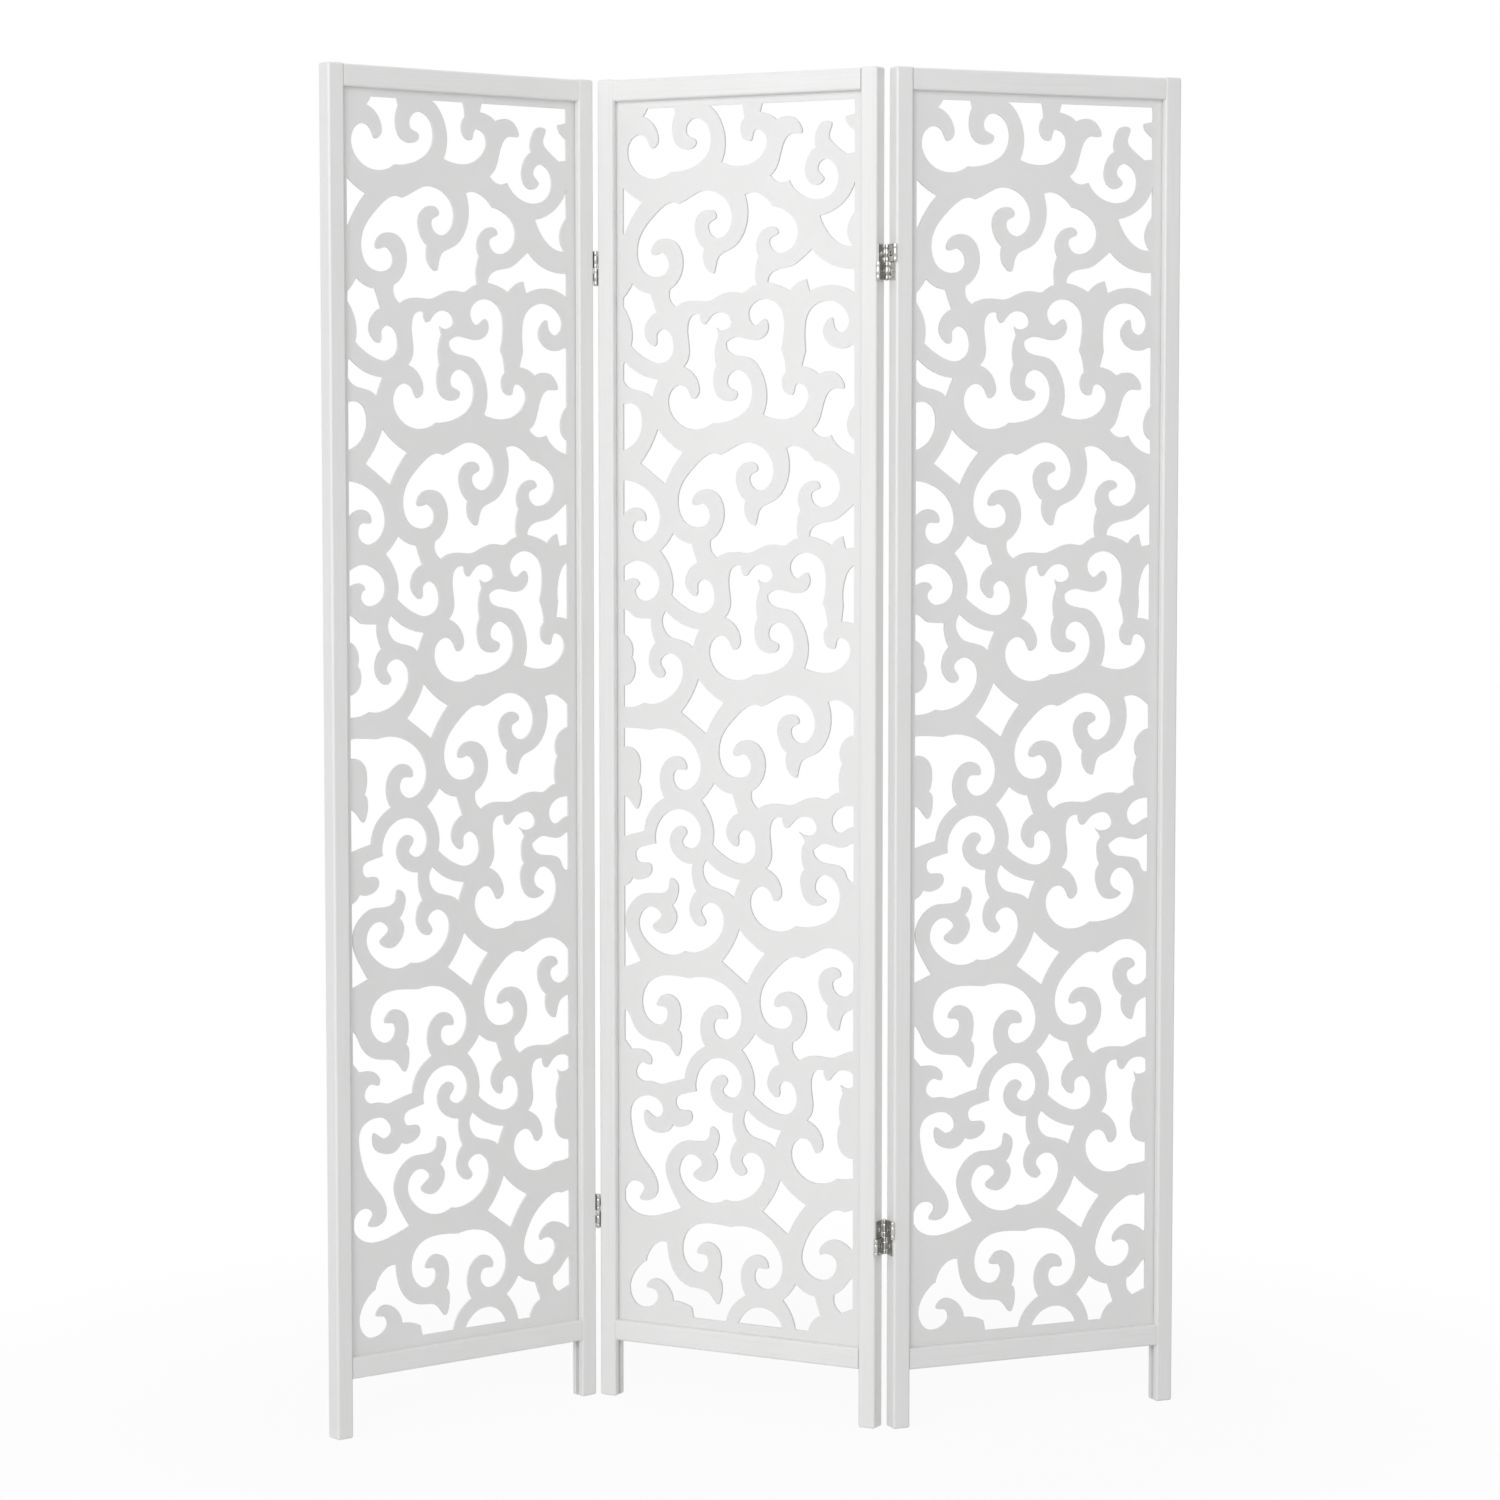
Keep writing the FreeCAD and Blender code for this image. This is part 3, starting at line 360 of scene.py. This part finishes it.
def timber_paint(name, turn, cell, paint):
    """Satin paint on planed timber: faint grain, spray ripple and a slightly uneven sheen."""
    finish = Finish(bpy.data.materials.new(name))
    grain = finish.speckle(turn, cell, GRAIN_DETAIL)
    ripple = finish.speckle(turn, (paint.peel_size,) * 3, PLAIN_DETAIL)
    cloud = finish.speckle(turn, TIMBER_CLOUD)
    thin = finish.steep(grain, *GRAIN_STEP)
    shade = GRAIN_PART * thin + CLOUD_PART * finish.steep(cloud, *PAINT_CLOUD_STEP)
    height = paint.grain_depth * grain + paint.peel_depth * ripple
    return finish.surface(
        Base_Color=finish.blend(shade, opaque(paint.frame_colour), opaque(paint.frame_colour, TIMBER_SHADE)),
        Roughness=paint.roughness - FRAME_POLISH + FRAME_CLOUD_DULLING * cloud + GRAIN_DULLING * thin,
        Normal=finish.relief(height))


def board_paint(panel, paint):
    """Smooth paint on a thin board, with duller sawn edges that show the board's layers and that are painted
    lighter than the faces, as painted light on edges the lamps leave in shade.
    """
    run = panel_run(panel)
    front = (run.y, -run.x, 0)
    turn = panel_turn(panel)
    finish = Finish(bpy.data.materials.new(f"{panel}_board_paint"))
    facing = finish.along(finish.node("ShaderNodeTexCoord", output="Normal"), front)
    rim = 1 - finish.steep(abs(facing), *FACE_STEP)
    depth = finish.along(finish.place(), front)
    layers = finish.node(
        "ShaderNodeTexNoise", {"noise_dimensions": "1D"},
        {"W": depth, "Scale": BOARD_LAYERS, "Detail": USUAL_DETAIL})
    ripple = finish.speckle(turn, (paint.peel_size,) * 3, PLAIN_DETAIL)
    fibres = finish.speckle(turn, BOARD_FIBRE)
    cloud = finish.speckle(turn, BOARD_CLOUD)
    face = finish.blend(
        finish.steep(cloud, *PAINT_CLOUD_STEP),
        opaque(paint.board_colour), opaque(paint.board_colour, BOARD_SHADE))
    # The sawn edges get the lighter edge colour, which is painted light, streaked with the board's layers.
    sawn = finish.blend(layers, opaque(paint.rim_colour_painted_light), opaque(paint.rim_colour_painted_light, LAYER_SHADE))
    height = paint.peel_depth * ripple + (rim * (layers + fibres)) * (paint.peel_depth * RIM_COARSENESS)
    return finish.surface(
        Base_Color=finish.blend(rim, face, sawn),
        Roughness=paint.roughness + BOARD_DULLING + BOARD_CLOUD_DULLING * cloud + RIM_DULLING * rim,
        Normal=finish.relief(height))


def plated_steel(name, colour, roughness, cell):
    """Plated steel with fine rubbed lines, a few pits and a slightly clouded sheen."""
    finish = Finish(bpy.data.materials.new(name))
    lines = finish.speckle(0, cell)
    cloud = finish.speckle(0, STEEL_CLOUD)
    pits = finish.steep(finish.speckle(0, STEEL_PIT, PLAIN_DETAIL), *PIT_STEP)
    tint = finish.blend(
        finish.steep(cloud, *STEEL_CLOUD_STEP), opaque(colour), opaque(colour, STEEL_SHADE))
    height = LINE_HEIGHT * lines - PIT_DEPTH * pits
    return finish.surface(
        Base_Color=finish.blend(pits, tint, opaque(colour, PIT_SHADE)),
        Metallic=1.0,
        Roughness=roughness + STEEL_CLOUD_DULLING * cloud + LINE_DULLING * lines,
        Normal=finish.relief(height))


def hinge_nodes(*pieces):
    """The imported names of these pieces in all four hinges."""
    return [f"{fold}_{level}_hinge_{piece}" for fold in FOLDS for level in LEVELS for piece in pieces]


def wear(material, names):
    """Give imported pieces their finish."""
    for name in names:
        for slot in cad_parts[name].material_slots:
            slot.material = material


def soften(width, names, flat_faced=False):
    """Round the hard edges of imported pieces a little, as paint or plating does."""
    for name in names:
        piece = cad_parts[name]
        weld = piece.modifiers.new("joined_faces", "WELD")
        weld.merge_threshold = WELD_REACH
        bevel = piece.modifiers.new("softened_edges", "BEVEL")
        bevel.width = width
        bevel.segments = SOFT_EDGE_SEGMENTS
        bevel.limit_method = "ANGLE"
        bevel.angle_limit = SHARP_ANGLE
        bevel.harden_normals = not flat_faced
        if flat_faced:
            piece.modifiers.new("flat_faces_stay_flat", "WEIGHTED_NORMAL")


class PaintFrames(bpy.types.Operator):
    """Paint the stiles and rails, with the grain along each of them"""

    bl_idname = "fretwork.paint_frames"
    bl_label = "Paint the frames"

    def execute(self, context):
        paint = context.scene.fretwork_paint
        wide = paint.grain_width
        for panel in PANELS:
            turn = panel_turn(panel)
            upright = timber_paint(f"{panel}_stile_paint", turn, (wide, wide, paint.grain_length), paint)
            level = timber_paint(f"{panel}_rail_paint", turn, (paint.grain_length, wide, wide), paint)
            wear(upright, [f"{panel}_panel_left_stile", f"{panel}_panel_right_stile"])
            wear(level, [f"{panel}_panel_top_rail", f"{panel}_panel_bottom_rail"])
        return {"FINISHED"}


class PaintBoards(bpy.types.Operator):
    """Paint the fretwork boards and soften the edges of their openings"""

    bl_idname = "fretwork.paint_boards"
    bl_label = "Paint the fretwork boards"

    def execute(self, context):
        paint = context.scene.fretwork_paint
        for panel in PANELS:
            board = [f"{panel}_panel_fretwork_board"]
            wear(board_paint(panel, paint), board)
            soften(paint.rim_softening, board, flat_faced=True)
        return {"FINISHED"}


class PlateHinges(bpy.types.Operator):
    """Plate the hinge leaves and links and soften their edges"""

    bl_idname = "fretwork.plate_hinges"
    bl_label = "Plate the hinges"

    def execute(self, context):
        plating = context.scene.fretwork_plating
        pieces = hinge_nodes("left_leaf", "right_leaf", "upper_link", "lower_link")
        wear(plated_steel("hinge_plate", plating.hinge_colour, LEAF_ROUGHNESS, LEAF_LINES), pieces)
        soften(plating.edge_softening, pieces)
        return {"FINISHED"}


class FinishPins(bpy.types.Operator):
    """Polish the hinge pins"""

    bl_idname = "fretwork.finish_pins"
    bl_label = "Polish the hinge pins"

    def execute(self, context):
        colour = context.scene.fretwork_plating.pin_colour
        steel = plated_steel("pin_steel", colour, PIN_ROUGHNESS, PIN_LINES)
        wear(steel, hinge_nodes("upper_pins", "lower_pins"))
        return {"FINISHED"}


class FinishScrews(bpy.types.Operator):
    """Zinc plate the screws"""

    bl_idname = "fretwork.finish_screws"
    bl_label = "Plate the screws"

    def execute(self, context):
        colour = context.scene.fretwork_plating.screw_colour
        zinc = plated_steel("screw_zinc", colour, SCREW_ROUGHNESS, SCREW_LINES)
        wear(zinc, hinge_nodes("left_screws", "right_screws"))
        return {"FINISHED"}


# Stage


def plain_floor(studio):
    """A level round floor under the screen, white to the eye and with the screen's soft shadow."""
    bpy.ops.mesh.primitive_circle_add(
        vertices=FLOOR_SIDES, radius=FLOOR_RADIUS, fill_type="NGON", location=(0, 0, 0))
    floor = bpy.context.object
    floor.name = "floor"
    finish = Finish(bpy.data.materials.new("floor_white"))
    lit = finish.node("ShaderNodeBsdfDiffuse", {}, {"Color": opaque(studio.floor_colour)})
    white = finish.node("ShaderNodeEmission", {}, {"Color": opaque(WHITE), "Strength": 1.0})
    away = finish.node(
        "ShaderNodeVectorMath", {"operation": "LENGTH"}, {0: finish.place()}, output="Value")
    inner_third = studio.shadow_reach / 3
    near = 1 - finish.steep(away, inner_third, studio.shadow_reach)
    plain = finish.white_rays() * (1 - near * studio.shadow_share)
    mixed = finish.node("ShaderNodeMixShader", {}, {0: plain, 1: lit, 2: white})
    finish.node("ShaderNodeOutputMaterial", {}, {"Surface": mixed})
    floor.data.materials.append(finish.owner)


def surroundings(studio):
    """Even light from all round, which the eye, metal and glass see as plain white."""
    world = bpy.data.worlds.new("white_studio")
    bpy.context.scene.world = world
    finish = Finish(world)
    light = finish.node(
        "ShaderNodeBackground", {}, {"Color": opaque(WHITE), "Strength": studio.sky_level})
    white = finish.node("ShaderNodeBackground", {}, {"Color": opaque(WHITE), "Strength": 1.0})
    mixed = finish.node("ShaderNodeMixShader", {}, {0: finish.white_rays(), 1: light, 2: white})
    finish.node("ShaderNodeOutputWorld", {}, {"Surface": mixed})


def soft_lamp(name, power, width, height, place, aim):
    """A rectangular lamp that looks at a point."""
    data = bpy.data.lights.new(name, "AREA")
    data.shape = "RECTANGLE"
    data.size = width
    data.size_y = height
    data.energy = power
    lamp = bpy.data.objects.new(name, data)
    bpy.context.scene.collection.objects.link(lamp)
    lamp.location = place
    lamp.rotation_euler = (Vector(aim) - Vector(place)).to_track_quat("-Z", "Y").to_euler()


def camera(studio):
    """The camera at the photograph's place, with the photograph's lens."""
    data = bpy.data.cameras.new("camera")
    data.sensor_width = SENSOR_WIDTH
    data.lens = studio.camera_lens
    eye = bpy.data.objects.new("camera", data)
    bpy.context.scene.collection.objects.link(eye)
    eye.location = studio.camera_place
    eye.rotation_euler = (math.pi / 2 - studio.camera_dip, 0, studio.camera_turn)
    bpy.context.scene.camera = eye


class SetStage(bpy.types.Operator):
    """Set the floor, the surroundings, the lamps and the camera"""

    bl_idname = "fretwork.set_stage"
    bl_label = "Set the stage"

    def execute(self, context):
        studio = context.scene.fretwork_studio
        low, high = cad_box
        middle = (low + high) / 2
        plain_floor(studio)
        surroundings(studio)
        for lamp in LAMPS:
            power = getattr(studio, lamp["power"])
            soft_lamp(lamp["name"], power, lamp["width"], lamp["height"], lamp["place"], middle)
        camera(studio)
        context.scene.view_settings.view_transform = "Standard"
        return {"FINISHED"}


# Sidebar and registration


class ScreenPanel(bpy.types.Panel):
    """The operators and their settings"""

    bl_idname = "VIEW3D_PT_fretwork_screen"
    bl_label = "Fretwork screen"
    bl_space_type = "VIEW_3D"
    bl_region_type = "UI"
    bl_category = "Screen"

    def draw(self, context):
        for group in GROUPS:
            settings = getattr(context.scene, group)
            column = self.layout.column(align=True)
            for name in settings.__annotations__:
                column.prop(settings, name)
        for operator in OPERATORS:
            self.layout.operator(operator.bl_idname)


GROUPS = {
    "fretwork_paint": PaintSettings,
    "fretwork_plating": PlatingSettings,
    "fretwork_studio": StudioSettings,
}
OPERATORS = (PaintFrames, PaintBoards, PlateHinges, FinishPins, FinishScrews, SetStage)


def register():
    for name, group in GROUPS.items():
        bpy.utils.register_class(group)
        setattr(bpy.types.Scene, name, PointerProperty(type=group))
    for made in (*OPERATORS, ScreenPanel):
        bpy.utils.register_class(made)


def unregister():
    for made in (ScreenPanel, *reversed(OPERATORS)):
        bpy.utils.unregister_class(made)
    for name, group in GROUPS.items():
        delattr(bpy.types.Scene, name)
        bpy.utils.unregister_class(group)


def main():
    register()
    bpy.ops.fretwork.paint_frames()
    bpy.ops.fretwork.paint_boards()
    bpy.ops.fretwork.plate_hinges()
    bpy.ops.fretwork.finish_pins()
    bpy.ops.fretwork.finish_screws()
    bpy.ops.fretwork.set_stage()


if __name__ == "__main__":
    main()
